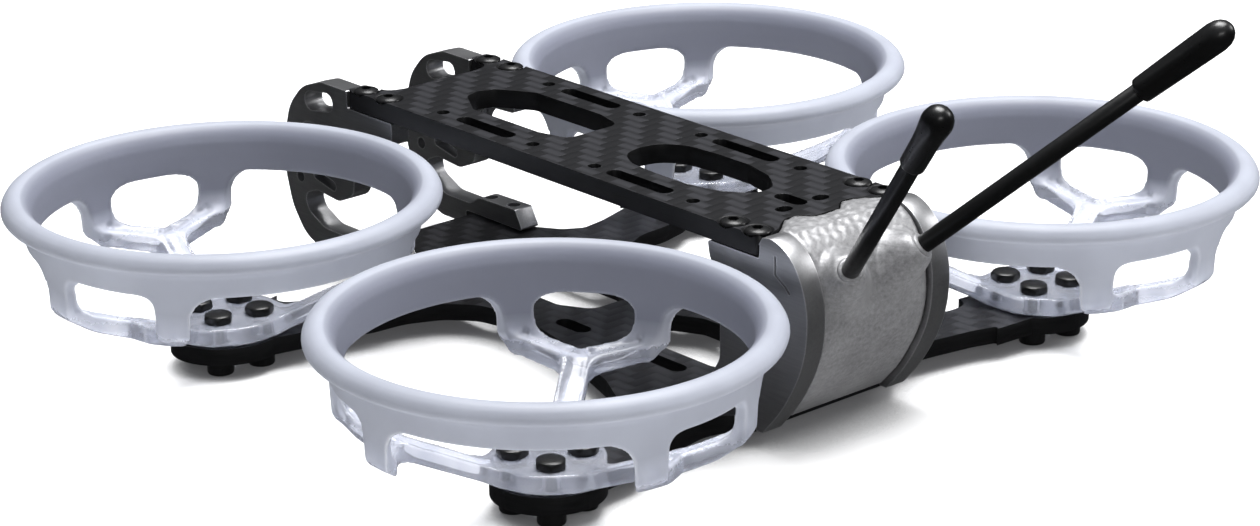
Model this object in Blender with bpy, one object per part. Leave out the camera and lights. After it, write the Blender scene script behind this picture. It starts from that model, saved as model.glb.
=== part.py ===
"""Ducted FPV quadcopter frame, built from its real separate pieces: an X-shaped carbon
bottom plate, a carbon top plate, two aluminium front cage plates, two aluminium rear plates,
a printed flexible tail cover with two antenna tubes and their caps, four moulded prop ducts,
and the screws and nuts that hold them.  Metres, +Z up, nose towards -Y."""

import math

import bmesh
import bpy
from mathutils import Matrix, Vector

for old in list(bpy.data.objects):
    bpy.data.objects.remove(old, do_unlink=True)

MM = 0.001

# ---- sizes in millimetres; z = 0 is the underside of the bottom plate ----
MOTOR_X = 46.0          # half the side-to-side motor spacing
MOTOR_Y = 34.65         # half the front-to-rear motor spacing
PLATE_T = 2.5           # bottom plate; the top plate is a little thicker
TOP_Z0, TOP_Z1 = 24.9, 27.7
GAP = 0.2               # clearance between pieces that touch
HALF_W = 13.3           # half width of the body over the aluminium plates
IN_W = 10.0             # half width inside them
MID_Z = 14.1            # centre height of the cage
M2_R, M2_HOLE_R = 0.95, 1.1
BOLT = 3.2              # motor bolts at (+-BOLT, +-BOLT) round each hub, turned by BOLT_SPIN
BOLT_SPIN = {"front_left": -9.0, "rear_left": 9.0, "front_right": 9.0, "rear_right": -9.0}
HUB_Z0, HUB_Z1 = 2.7, 5.0

MAIN = bpy.data.collections.new("ducted_quad_frame")
bpy.context.scene.collection.children.link(MAIN)
CUT = bpy.data.collections.new("cutters")
bpy.context.scene.collection.children.link(CUT)
CUT.hide_render = True


def material(name, rgb, rough, metal=0.0, alpha=1.0):
    mat = bpy.data.materials.new(name)
    mat.use_nodes = True
    shader = mat.node_tree.nodes["Principled BSDF"]
    shader.inputs["Base Color"].default_value = (*rgb, 1.0)
    shader.inputs["Roughness"].default_value = rough
    shader.inputs["Metallic"].default_value = metal
    shader.inputs["Alpha"].default_value = alpha
    mat.diffuse_color = (*rgb, 1.0)
    return mat


CARBON = material("carbon_plate", (0.045, 0.045, 0.05), 0.38)
ALLOY = material("anodised_alloy", (0.10, 0.10, 0.105), 0.32, 0.9)
ALLOY_R = material("anodised_alloy_rear", (0.13, 0.13, 0.135), 0.35, 0.9)
DUCT_MAT = material("milky_plastic", (0.62, 0.66, 0.76), 0.35)
TAIL_MAT = material("silver_print", (0.42, 0.42, 0.43), 0.45)
TUBE_MAT = material("black_tube", (0.01, 0.01, 0.01), 0.3)
CAP_MAT = material("black_cap", (0.012, 0.012, 0.012), 0.35)
STEEL = material("black_steel", (0.02, 0.02, 0.022), 0.35, 0.6)


def add(name, mesh, mat, collection=MAIN):
    obj = bpy.data.objects.new(name, mesh)
    collection.objects.link(obj)
    if mat:
        mesh.materials.clear()
        mesh.materials.append(mat)
    if collection is CUT:
        obj.hide_render = True
        obj.display_type = "WIRE"
    return obj


def mesh_from(name, verts, faces):
    mesh = bpy.data.meshes.new(name)
    mesh.from_pydata([tuple(c * MM for c in v) for v in verts], [], faces)
    bm = bmesh.new()
    bm.from_mesh(mesh)
    bmesh.ops.recalc_face_normals(bm, faces=bm.faces)
    bm.to_mesh(mesh)
    bm.free()
    return mesh


def plate(name, outline, holes, low, high, plane="z", fillet=None):
    """A flat plate: an outline with holes, extruded along one axis from low to high."""
    curve = bpy.data.curves.new(name, "CURVE")
    curve.dimensions = "2D"
    curve.fill_mode = "BOTH"
    curve.extrude = (high - low) / 2 * MM
    for loop in [outline] + list(holes):
        spline = curve.splines.new("POLY")
        spline.points.add(len(loop) - 1)
        for point, (a, b) in zip(spline.points, loop):
            point.co = (a * MM, b * MM, 0, 1)
        spline.use_cyclic_u = True
    temp = bpy.data.objects.new(name + "_curve", curve)
    bpy.context.scene.collection.objects.link(temp)
    bpy.context.view_layer.update()
    mesh = bpy.data.meshes.new_from_object(temp.evaluated_get(bpy.context.evaluated_depsgraph_get()))
    bpy.data.objects.remove(temp, do_unlink=True)
    bm = bmesh.new()
    bm.from_mesh(mesh)
    bmesh.ops.remove_doubles(bm, verts=bm.verts, dist=2e-6)
    mid = (low + high) / 2 * MM
    if plane == "z":
        bmesh.ops.translate(bm, vec=(0, 0, mid), verts=bm.verts)
    else:                                   # outline given as (y, z), extruded along x
        turn = Matrix(((0, 0, 1, 0), (1, 0, 0, 0), (0, 1, 0, 0), (0, 0, 0, 1)))
        bmesh.ops.transform(bm, matrix=turn, verts=bm.verts)
        bmesh.ops.translate(bm, vec=(mid, 0, 0), verts=bm.verts)
    bmesh.ops.recalc_face_normals(bm, faces=bm.faces)
    bm.to_mesh(mesh)
    bm.free()
    return mesh


def ring_points(radius, count, start=0.0, sweep=360.0, centre=(0, 0)):
    closed = abs(sweep) >= 360
    steps = count if closed else count - 1
    return [(centre[0] + radius * math.cos(math.radians(start + sweep * i / steps)),
             centre[1] + radius * math.sin(math.radians(start + sweep * i / steps)))
            for i in range(count)]


def slot_loop(cx, cy, length, width, angle=0.0, count=4):
    """A slot with round ends, given as one closed loop."""
    half = (length - width) / 2
    pts = []
    for side, start in ((1, -90), (-1, 90)):
        for x, y in ring_points(width / 2, count, start, 180):
            pts.append((x + side * half, y))
    c, s = math.cos(math.radians(angle)), math.sin(math.radians(angle))
    return [(cx + x * c - y * s, cy + x * s + y * c) for x, y in pts]


def rounded(points, radii, count=4):
    """The polygon with each corner rounded by its own radius."""
    out = []
    n = len(points)
    for i, p in enumerate(points):
        r = radii[i] if isinstance(radii, (list, tuple)) else radii
        p, a, b = Vector(p), Vector(points[i - 1]), Vector(points[(i + 1) % n])
        if r <= 0:
            out.append(tuple(p))
            continue
        u, v = (a - p).normalized(), (b - p).normalized()
        half = math.acos(max(-1, min(1, u.dot(v)))) / 2
        if abs(math.pi / 2 - half) < 0.03:
            out.append(tuple(p))
            continue
        cut = min(r / math.tan(half), (a - p).length * 0.49, (b - p).length * 0.49)
        r = cut * math.tan(half)
        centre = p + (u + v).normalized() * (r / math.sin(half))
        first, last = p + u * cut - centre, p + v * cut - centre
        a0 = math.atan2(first.y, first.x)
        turn = (math.atan2(last.y, last.x) - a0 + math.pi) % (2 * math.pi) - math.pi
        for k in range(count + 1):
            t = a0 + turn * k / count
            out.append((centre.x + r * math.cos(t), centre.y + r * math.sin(t)))
    return out


def mirrored(loop):
    return [(-x, y) for x, y in reversed(loop)]


def loft(name, levels, mat=None, collection=CUT, join=None):
    """A closed solid through loops of equal length at successive heights."""
    n = len(levels[0][1])
    verts = [(x, y, z) for z, loop in levels for x, y in loop]
    faces = [[i for i in range(n)][::-1], [(len(levels) - 1) * n + i for i in range(n)]]
    for k in range(len(levels) - 1):
        for i in range(n):
            j = (i + 1) % n
            faces.append([k * n + i, k * n + j, (k + 1) * n + j, (k + 1) * n + i])
    return verts, faces


def merged(name, pieces, collection=CUT, mat=None):
    verts, faces = [], []
    for v, f in pieces:
        base = len(verts)
        verts += v
        faces += [[base + i for i in face] for face in f]
    return add(name, mesh_from(name, verts, faces), mat, collection)


def cylinder(cx, cy, z0, z1, r0, r1=None, count=16, spin=0.0):
    r1 = r0 if r1 is None else r1
    return loft("", [(z0, ring_points(r0, count, spin, centre=(cx, cy))),
                     (z1, ring_points(r1, count, spin, centre=(cx, cy)))])


def cut(obj, cutter):
    mod = obj.modifiers.new(cutter.name, "BOOLEAN")
    mod.operation = "DIFFERENCE"
    mod.solver = "EXACT"
    mod.object = cutter


# =============================== carbon plates ===============================
HUBS = {"front_left": (MOTOR_X, -MOTOR_Y), "rear_left": (MOTOR_X, MOTOR_Y),
        "front_right": (-MOTOR_X, -MOTOR_Y), "rear_right": (-MOTOR_X, MOTOR_Y)}


def bolt_place(corner, sx, sy):
    hx, hy = HUBS[corner]
    a = math.radians(BOLT_SPIN[corner])
    return (hx + BOLT * (sx * math.cos(a) - sy * math.sin(a)), hy + BOLT * (sx * math.sin(a) + sy * math.cos(a)))


def hub_arc(cx, cy, start, end, radius=7.6, count=13, grow=0.0, tip=-12.0):
    """The rim of a motor pad, which bulges by grow towards the direction tip."""
    pts = []
    for i in range(count):
        a = start + (end - start) * i / (count - 1)
        r = radius + grow * max(0.0, math.cos(math.radians(a - tip))) ** 2
        pts.append((cx + r * math.cos(math.radians(a)), cy + r * math.sin(math.radians(a))))
    return pts


half_outline = (
    rounded([(13.3, -50.2), (13.3, -38.2), (15.6, -34.6), (18.6, -32.7), (23.0, -33.4),
             (30.0, -35.6), (36.5, -39.4)], [1.5, 2, 2, 2, 6, 6, 3], 3)[0:] +
    hub_arc(MOTOR_X, -MOTOR_Y, -142, 110, grow=0.9) +
    rounded([(37.9, -29.2), (33.0, -26.0), (28.0, -24.7), (22.8, -24.3), (17.6, -21.9),
             (14.2, -18.0), (13.2, -13.5), (13.5, -6.0), (15.0, 2.0), (17.6, 9.5), (19.8, 16.0),
             (23.0, 22.0), (27.6, 26.8), (33.0, 29.4), (37.9, 29.4)],
            [5, 6, 8, 8, 6, 6, 8, 8, 8, 8, 8, 8, 8, 6, 5], 1) +
    hub_arc(MOTOR_X, MOTOR_Y, -110, 142) +
    rounded([(36.5, 39.0), (30.0, 37.0), (24.5, 36.0), (19.5, 35.2), (16.0, 36.0), (13.9, 38.3),
             (13.3, 38.3)], [4, 8, 8, 6, 4, 0.6, 0], 2))
bottom_outline = half_outline + mirrored(half_outline)

bottom_holes = []
for corner, (hx, hy) in HUBS.items():
    bottom_holes.append(ring_points(2.0, 12, centre=(hx, hy)))
    for sx in (-1, 1):
        for sy in (-1, 1):
            bottom_holes.append(ring_points(M2_HOLE_R, 8, centre=bolt_place(corner, sx, sy)))
front_open = rounded([(5.8, -33.0), (5.8, -10.5), (3.2, -5.6), (-3.2, -5.6), (-5.8, -10.5),
                      (-5.8, -33.0), (-3.0, -36.0), (3.0, -36.0)], 2.6, 3)
rear_open = rounded([(5.8, 8.0), (5.8, 22.0), (2.8, 27.0), (-2.8, 27.0), (-5.8, 22.0),
                     (-5.8, 8.0), (-3.2, 2.9), (3.2, 2.9)], 2.6, 3)
bottom_holes += [front_open, rear_open]
for sx in (-1, 1):
    bottom_holes.append(slot_loop(sx * 9.6, -2.6, 6.4, 2.6, 90))
    bottom_holes.append(slot_loop(sx * 9.6, 14.5, 12.0, 2.6, 90))
    bottom_holes.append(slot_loop(sx * 9.6, -24.0, 12.0, 2.6, 90))
FOOT_SCREWS = [(11.65, -46.3), (11.65, -41.0)]
REAR_SCREWS = [(11.65, 32.4), (11.65, 37.0)]
USED_BELOW = [(11.65, -41.0), (11.65, 32.4)]
for sx in (-1, 1):
    for px, py in FOOT_SCREWS + REAR_SCREWS:
        bottom_holes.append(ring_points(M2_HOLE_R, 8, centre=(sx * px, py)))
add("bottom_plate", plate("bottom_plate", bottom_outline, bottom_holes, 0, PLATE_T), CARBON)

top_half = [(2.2, 38.1), (3.2, 37.0), (4.4, 36.3), (6.2, 36.3), (8.0, 37.5), (9.4, 38.6), (12.6, 38.8), (13.1, 38.6),
            (13.3, 38.1), (13.3, -48.0), (13.1, -48.5), (12.6, -48.7), (10.6, -48.7), (10.1, -48.3), (9.9, -46.5),
            (9.6, -44.6), (8.6, -43.6), (6.8, -43.2)]
top_outline = list(reversed(top_half)) + mirrored(list(reversed(top_half)))
top_holes = []
for sx in (-1, 1):
    for py in (-30.3, -10.3, 2.8, 22.8):
        top_holes.append(ring_points(0.95, 16, centre=(sx * 10.0, py)))
    for py, length in ((-20.8, 12.0), (12.0, 12.6)):
        top_holes.append(slot_loop(sx * 9.9, py, length, 2.4, 90))
    for py in (32.4, 37.0, -46.3, -41.0):
        top_holes.append(ring_points(M2_HOLE_R, 8, centre=(sx * 11.65, py)))
    top_holes.append(slot_loop(sx * 3.4, 33.4, 2.6, 1.9, 0, 4))
top_holes.append(slot_loop(0, 31.2, 5.4, 2.4, 90))
top_holes.append(rounded([(0, -34.8), (2.6, -34.0), (5.9, -28.5), (5.9, -14.0), (4.6, -8.9), (-4.6, -8.9),
                          (-5.9, -14.0), (-5.9, -28.5), (-2.6, -34.0)], 1.4, 2))
top_holes.append(rounded([(0, 1.0), (3.4, 1.7), (5.4, 5.2), (5.9, 10.5), (5.9, 17.0), (4.6, 22.3), (2.0, 25.8), (0, 26.4),
                          (-2.0, 25.8), (-4.6, 22.3), (-5.9, 17.0), (-5.9, 10.5), (-5.4, 5.2), (-3.4, 1.7)], 1.2, 2))
top = add("top_plate", plate("top_plate", top_outline, top_holes, TOP_Z0, TOP_Z1), CARBON)
sinks = [cylinder(sx * 11.65, py, TOP_Z1 - 0.95, TOP_Z1 + 0.15, 1.3, 2.4, 12)
         for sx in (-1, 1) for py in (32.4, 37.0, -46.3, -41.0)]
cut(top, merged("cut_top_sinks", sinks))

# ============================ aluminium side plates ============================
Z = 21.5                 # the profiles below are measured from the duct rim's centre line
front_profile = rounded(
    [(-38.4, 3.2), (-49.0, 3.2), (-49.0, 5.8), (-55.2, 5.8), (-60.0, 4.2), (-63.4, 0.5), (-65.0, -5.0),
     (-65.1, -10.0), (-63.6, -15.4), (-60.6, -19.4), (-56.6, -20.9), (-50.6, -20.9), (-50.6, -18.7),
     (-37.1, -18.7), (-38.8, -15.7), (-47.4, -15.9), (-49.4, -17.3), (-55.6, -17.3), (-59.6, -15.4),
     (-60.4, -12.9), (-57.2, -11.6), (-51.8, -12.1), (-48.0, -10.4), (-47.8, -3.2), (-45.4, -0.6), (-38.5, -0.3)],
    [0.3, 0.5, 0.2, 3.0, 5.0, 5.0, 8.0, 8.0, 6.0, 5.0, 4.0, 0.3, 0.4,
     0.3, 0.4, 1.5, 1.5, 3.0, 1.6, 1.6, 2.0, 2.2, 2.2, 2.2, 2.0, 0.4], 3)
front_holes = [ring_points(3.3, 18, centre=(-58.2, -4.4)),
               slot_loop(-56.0, 2.6, 7.0, 2.9, 9),
               ring_points(0.9, 24, centre=(-61.3, -10.4)),
               slot_loop(-55.2, -9.6, 5.6, 1.5, -12)]
rear_profile = rounded(
    [(29.2, 3.2), (39.0, 3.2), (39.2, 6.0), (42.2, 6.4), (45.2, 4.6), (47.4, 1.0), (48.2, -4.0), (47.6, -8.6),
     (45.9, -12.8), (43.2, -17.3), (39.8, -21.2), (38.6, -21.2), (38.6, -18.7), (29.6, -18.7), (30.0, -15.6),
     (31.6, -13.0), (31.6, -2.2), (29.6, 1.0)],
    [0.4, 0.3, 0.5, 2.5, 4, 6, 8, 8, 8, 8, 1.5, 0.3, 0.3, 0.4, 2, 3, 3, 3], 3)


def lift(loop):
    return [(y, z + Z) for y, z in loop]


for side, sx in (("left", 1), ("right", -1)):
    low, high = sorted((sx * IN_W, sx * HALF_W))
    front = add("front_side_plate_" + side,
                plate("front_plate", lift(front_profile), [lift(h) for h in front_holes], low, high, "x"), ALLOY)
    drills = [cylinder(sx * 11.65, y, 2.0, 7.5, 1.05, count=10) for y in (-46.3, -41.0)]
    drills += [cylinder(sx * 11.65, y, 18.0, 25.6, 1.05, count=10) for y in (-46.3, -41.0)]
    cut(front, merged("cut_front_drills_" + side, drills))
    rear = add("rear_side_plate_" + side,
               plate("rear_plate", lift(rear_profile), [], low, high, "x"), ALLOY_R)
    drills = [cylinder(sx * 11.65, y, 2.0, 7.5, 1.05, count=10) for y in (32.4, 37.0)]
    drills += [cylinder(sx * 11.65, y, 21.0, 25.6, 1.05, count=10) for y in (32.4, 37.0)]
    cut(rear, merged("cut_rear_drills_" + side, drills))

# ================================ tail cover ================================
outer = [(33.2, 3.1), (38.9, 3.1), (39.2, 5.5), (41.8, 5.9), (44.5, 4.4), (46.6, 1.1), (47.4, -4.0), (46.9, -8.4),
         (45.3, -12.4), (42.6, -16.8), (39.6, -20.4), (38.7, -20.4)]
inner = [(38.7, -18.4), (41.0, -15.6), (43.5, -11.4), (44.9, -7.9), (45.3, -4.0), (44.6, 0.3), (43.0, 2.8), (41.2, 3.9),
         (40.4, 1.3), (33.2, 1.3)]
cover = add("tail_cover", plate("tail_cover", lift(outer + inner), [], -IN_W + 0.25, IN_W - 0.25, "x"), TAIL_MAT)

TUBE_R, TUBE_BORE, TUBE_IN = 1.25, 1.33, 6.0
ANTENNA = {"left": (Vector((6.8, 49.4, 24.3)), Vector((26.4, 83.3, 57.9))),
           "right": (Vector((-6.8, 49.4, 24.5)), Vector((-26.4, 83.3, 57.9)))}


def along(base, tip, profile, count=16):
    """A turned solid about the line from base to tip; profile is (distance along, radius)."""
    axis = (tip - base).normalized()
    side = axis.orthogonal().normalized()
    other = axis.cross(side)
    verts, faces, rings = [], [], []
    for t, r in profile:
        if r <= 0:
            rings.append([len(verts)])
            verts.append(tuple(base + axis * t))
        else:
            rings.append(list(range(len(verts), len(verts) + count)))
            for i in range(count):
                a = 2 * math.pi * i / count
                verts.append(tuple(base + axis * t + (side * math.cos(a) + other * math.sin(a)) * r))
    for a, b in zip(rings, rings[1:]):
        for i in range(count):
            j = (i + 1) % count
            if len(a) == 1:
                faces.append([a[0], b[j], b[i]])
            elif len(b) == 1:
                faces.append([a[i], a[j], b[0]])
            else:
                faces.append([a[i], a[j], b[j], b[i]])
    if len(rings[0]) > 1:
        faces.append(list(reversed(rings[0])))
    if len(rings[-1]) > 1:
        faces.append(rings[-1])
    return verts, faces


CAP_START, CAP_LEN = 36.2, 14.8
for side, (base, tip) in ANTENNA.items():
    boss = merged("boss_" + side, [along(base, tip, [(-7.0, 2.3), (-0.8, 2.2), (-0.1, 1.85)], 12)])
    mod = cover.modifiers.new("boss", "BOOLEAN")
    mod.operation, mod.solver, mod.object = "UNION", "EXACT", boss
for side, (base, tip) in ANTENNA.items():
    cut(cover, merged("bore_" + side, [along(base, tip, [(-TUBE_IN - 0.3, TUBE_BORE), (6, TUBE_BORE)], 12)]))
    end = CAP_START + 9.0
    add("antenna_tube_" + side, merged("t", [along(base, tip, [(-TUBE_IN, TUBE_R), (end, TUBE_R)], 12)]).data, TUBE_MAT)
    wall = [(9.4, 0), (9.4, TUBE_R + 0.06), (0.0, TUBE_R + 0.06), (0.0, 1.72), (0.8, 1.82), (8.0, 1.98), (12.2, 2.05),
            (13.6, 1.75), (14.5, 0.95), (CAP_LEN, 0)]
    start = base + (tip - base).normalized() * CAP_START
    add("antenna_cap_" + side, mesh_from("cap", *along(start, tip, wall, 12)), CAP_MAT)
for temp in [o for o in CUT.objects if o.name.startswith("t") and o.name[:2] in ("t", "t.")]:
    bpy.data.objects.remove(temp, do_unlink=True)

# =================================== ducts ===================================
SPOKE_AZ = {"front_left": -101.4, "rear_left": -141.8, "front_right": -109.2, "rear_right": -160.4}
duct_profile = [(1.6, -18.8), (7.9, -18.8), (18.8, -13.8), (24.2, -12.3), (27.2, -9.8), (27.8, -1.2),
                (28.5, -0.35), (30.2, -0.05), (30.6, 0.6), (29.9, 2.0), (28.5, 2.6), (27.1, 2.0),
                (26.2, 0.2), (25.9, -3.0), (25.7, -7.4), (24.4, -9.6), (18.8, -11.0), (7.9, -16.5), (1.6, -16.5)]
SEGS = 36
WALL_LOW = -4.2


def polar(radius, degrees, turn=0.0):
    a = math.radians(degrees) + turn
    return (radius * math.cos(a), radius * math.sin(a))


def revolve(cx, cy, profile, count, spin=0.0):
    n = len(profile)
    verts, faces = [], []
    for i in range(count):
        a = math.radians(spin) + 2 * math.pi * i / count
        verts += [(cx + r * math.cos(a), cy + r * math.sin(a), z) for r, z in profile]
    for i in range(count):
        j = (i + 1) % count
        for k in range(n):
            m = (k + 1) % n
            faces.append([i * n + k, j * n + k, j * n + m, i * n + m])
    return verts, faces


def corner_shift(depth, radius):
    return 0.0 if depth >= radius else radius - math.sqrt(max(0.0, radius * radius - (radius - depth) ** 2))


def uv(theta, u, v):
    a = math.radians(theta)
    return (u * math.cos(a) - v * math.sin(a), u * math.sin(a) + v * math.cos(a))


def opening(theta, nxt, shift):
    """The large gap between one Y spoke and the next."""
    turn = shift / 26.0
    side = [uv(theta, 7.8, 1.9), uv(theta, 15.4, 1.9), uv(theta, 17.2, 2.7), uv(theta, 18.6, 4.3)]
    side += [polar(25.4, theta + 22.0, turn), polar(27.4, theta + 26.6, turn), polar(31.5, theta + 26.6, turn)]
    back = [uv(nxt, 7.8, -1.9), uv(nxt, 15.4, -1.9), uv(nxt, 17.2, -2.7), uv(nxt, 18.6, -4.3)]
    back += [polar(25.4, nxt - 22.0, -turn), polar(27.4, nxt - 26.6, -turn), polar(31.5, nxt - 26.6, -turn)]
    first, last = theta + 26.6 + math.degrees(turn), nxt - 26.6 - math.degrees(turn)
    outer_arc = [polar(33.0, first + (last - first) * t) for t in (0.25, 0.5, 0.75)]
    h0, h1 = theta + 14.0, nxt - 14.0
    hub = [polar(7.9, h0 + (h1 - h0) * t) for t in (0.88, 0.7, 0.5, 0.3, 0.12)]
    return side + outer_arc + list(reversed(back)) + hub


def window(theta, shift):
    turn = shift / 26.0
    return [uv(theta, 21.0, 0), uv(theta, 23.6, 6.4), polar(25.9, theta + 15.6, -turn), polar(31.5, theta + 15.6, -turn),
            polar(31.9, theta), polar(31.5, theta - 15.6, turn), polar(25.9, theta - 15.6, turn), uv(theta, 23.6, -6.4)]


for corner, (hx, hy) in HUBS.items():
    duct = add("duct_" + corner, mesh_from("duct", *revolve(hx, hy, [(r, z + Z) for r, z in duct_profile], SEGS,
                                                            SPOKE_AZ[corner] + 4.5)), DUCT_MAT)
    pieces = []
    for k in range(3):
        theta = SPOKE_AZ[corner] + 120 * k
        for make, radius in ((lambda s: opening(theta, theta + 120, s), 4.0), (lambda s: window(theta, s), 2.6)):
            levels = []
            for depth in (0.0, 0.4, 1.5, 2.6, 4.0):
                if depth <= radius and (radius < 3 or depth != 2.6):
                    levels.append((depth, corner_shift(depth, radius)))
            levels.append((25.0, 0.0))
            loops = [(WALL_LOW - d + Z, [(hx + x, hy + y) for x, y in make(s)]) for d, s in reversed(levels)]
            pieces.append(loft("", loops))
    for sx in (-1, 1):
        for sy in (-1, 1):
            pieces.append(cylinder(*bolt_place(corner, sx, sy), 1.0, 6.0, M2_HOLE_R, count=10))
    cut(duct, merged("cut_duct_" + corner, pieces))


# ================================= fasteners =================================
def screw(name, cx, cy, seat, direction, head_r, head_h, length, cone=0.0):
    """A socket screw; direction is +1 for a shank pointing up, -1 for one pointing down."""
    d = direction
    if cone:
        pts = [(seat - d * head_h, head_r - 0.75), (seat - d * head_h * 0.55, head_r - 0.2), (seat, head_r),
               (seat + d * cone, M2_R), (seat + d * length, M2_R)]
    else:
        pts = [(seat - d * head_h, head_r - 0.25), (seat - d * (head_h - 0.25), head_r), (seat, head_r), (seat, M2_R),
               (seat + d * length, M2_R)]
    base, tip = Vector((cx, cy, 0)), Vector((cx, cy, 1))
    body = mesh_from(name, *along(base, tip, [(z, r) for z, r in pts], 10))
    obj = add(name, body, STEEL)
    top_z = seat - d * head_h
    key = cylinder(cx, cy, min(top_z + d * min(0.9, head_h * 0.6 + 0.3), top_z - d * 0.5),
                   max(top_z + d * min(0.9, head_h * 0.6 + 0.3), top_z - d * 0.5), 0.85, count=6)
    cut(obj, merged("key_" + name, [key]))
    return obj


for corner, (hx, hy) in HUBS.items():
    number = 1
    for sx in (-1, 1):
        for sy in (-1, 1):
            cx, cy = bolt_place(corner, sx, sy)
            screw("duct_screw_%s_%d" % (corner, number), cx, cy, -0.1, 1, 1.9, 2.2, 6.0)
            hexa = ring_points(2.2, 6, 20 + 37 * number, centre=(cx, cy))
            nut = add("duct_nut_%s_%d" % (corner, number),
                      plate("nut", hexa, [ring_points(1.05, 8, centre=(cx, cy))], HUB_Z1 + 0.1, HUB_Z1 + 1.5), STEEL)
            number += 1
for side, sx in (("left", 1), ("right", -1)):
    for k, (px, py) in enumerate(((11.65, -46.3), (11.65, -41.0), (11.65, 32.4), (11.65, 37.0))):
        screw("top_screw_%s_%d" % (side, k + 1), sx * px, py, TOP_Z1 - 0.1, -1, 1.85, 0.45, 5.8, cone=0.8)
    for k, (px, py) in enumerate(USED_BELOW):
        screw("bottom_screw_%s_%d" % (side, k + 1), sx * px, py, -0.1, 1, 1.9, 1.4, 5.0)
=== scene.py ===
import math

import bmesh
import bpy
import numpy as np
from mathutils import Matrix, Vector


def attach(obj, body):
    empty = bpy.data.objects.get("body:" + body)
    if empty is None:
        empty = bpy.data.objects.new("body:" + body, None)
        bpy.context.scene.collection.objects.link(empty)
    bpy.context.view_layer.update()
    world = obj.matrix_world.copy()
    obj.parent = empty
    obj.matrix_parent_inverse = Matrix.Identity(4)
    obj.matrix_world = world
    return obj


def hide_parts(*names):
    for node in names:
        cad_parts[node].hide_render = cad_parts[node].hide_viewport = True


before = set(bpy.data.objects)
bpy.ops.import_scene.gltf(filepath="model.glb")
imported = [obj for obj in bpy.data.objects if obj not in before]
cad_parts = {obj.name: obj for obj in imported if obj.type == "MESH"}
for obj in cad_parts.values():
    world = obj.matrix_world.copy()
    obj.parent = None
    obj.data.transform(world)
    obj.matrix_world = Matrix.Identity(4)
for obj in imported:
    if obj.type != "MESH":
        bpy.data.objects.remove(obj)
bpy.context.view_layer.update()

MM = 0.001
Z0 = 21.5                       # height of the duct rim's centre line over the bottom plate's underside
MOTOR_X, MOTOR_Y = 46.0, 34.65
PLATE_T, TOP_Z0, TOP_Z1 = 2.5, 24.9, 27.7
HALF_W, IN_W = 13.3, 10.0
BOLT = 3.2
HUBS = {"front_left": (MOTOR_X, -MOTOR_Y), "rear_left": (MOTOR_X, MOTOR_Y),
        "front_right": (-MOTOR_X, -MOTOR_Y), "rear_right": (-MOTOR_X, MOTOR_Y)}
SPOKE_AZ = {"front_left": -101.4, "rear_left": -141.8, "front_right": -109.2, "rear_right": -160.4}
BOLT_SPIN = {"front_left": -9.0, "rear_left": 9.0, "front_right": 9.0, "rear_right": -9.0}
scene = bpy.context.scene


def bolt_offset(corner, sx, sy):
    a = math.radians(BOLT_SPIN[corner])
    return (BOLT * (sx * math.cos(a) - sy * math.sin(a)), BOLT * (sx * math.sin(a) + sy * math.cos(a)))


# ------------------------------------------------------------------ camera
cam_data = bpy.data.cameras.new("camera")
cam = bpy.data.objects.new("camera", cam_data)
scene.collection.objects.link(cam)
RIGHT = Vector((-0.74666357, 0.66515398, -0.00798091))
UP = Vector((-0.23509608, -0.25264388, 0.93856321))
FORWARD = Vector((-0.62227272, -0.70266724, -0.34501507))
pose = Matrix.Identity(4)
for i in range(3):
    pose[i][0], pose[i][1], pose[i][2] = RIGHT[i], UP[i], -FORWARD[i]
pose.translation = Vector((0.30907802, 0.34771825, 0.15972945 + Z0 * MM))
cam.matrix_world = pose
cam_data.sensor_width = 36
cam_data.lens = 100.056
cam_data.clip_start, cam_data.clip_end = 0.01, 20
scene.camera = cam
scene.view_settings.view_transform = "Standard"
scene.view_settings.look = "None"


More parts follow.
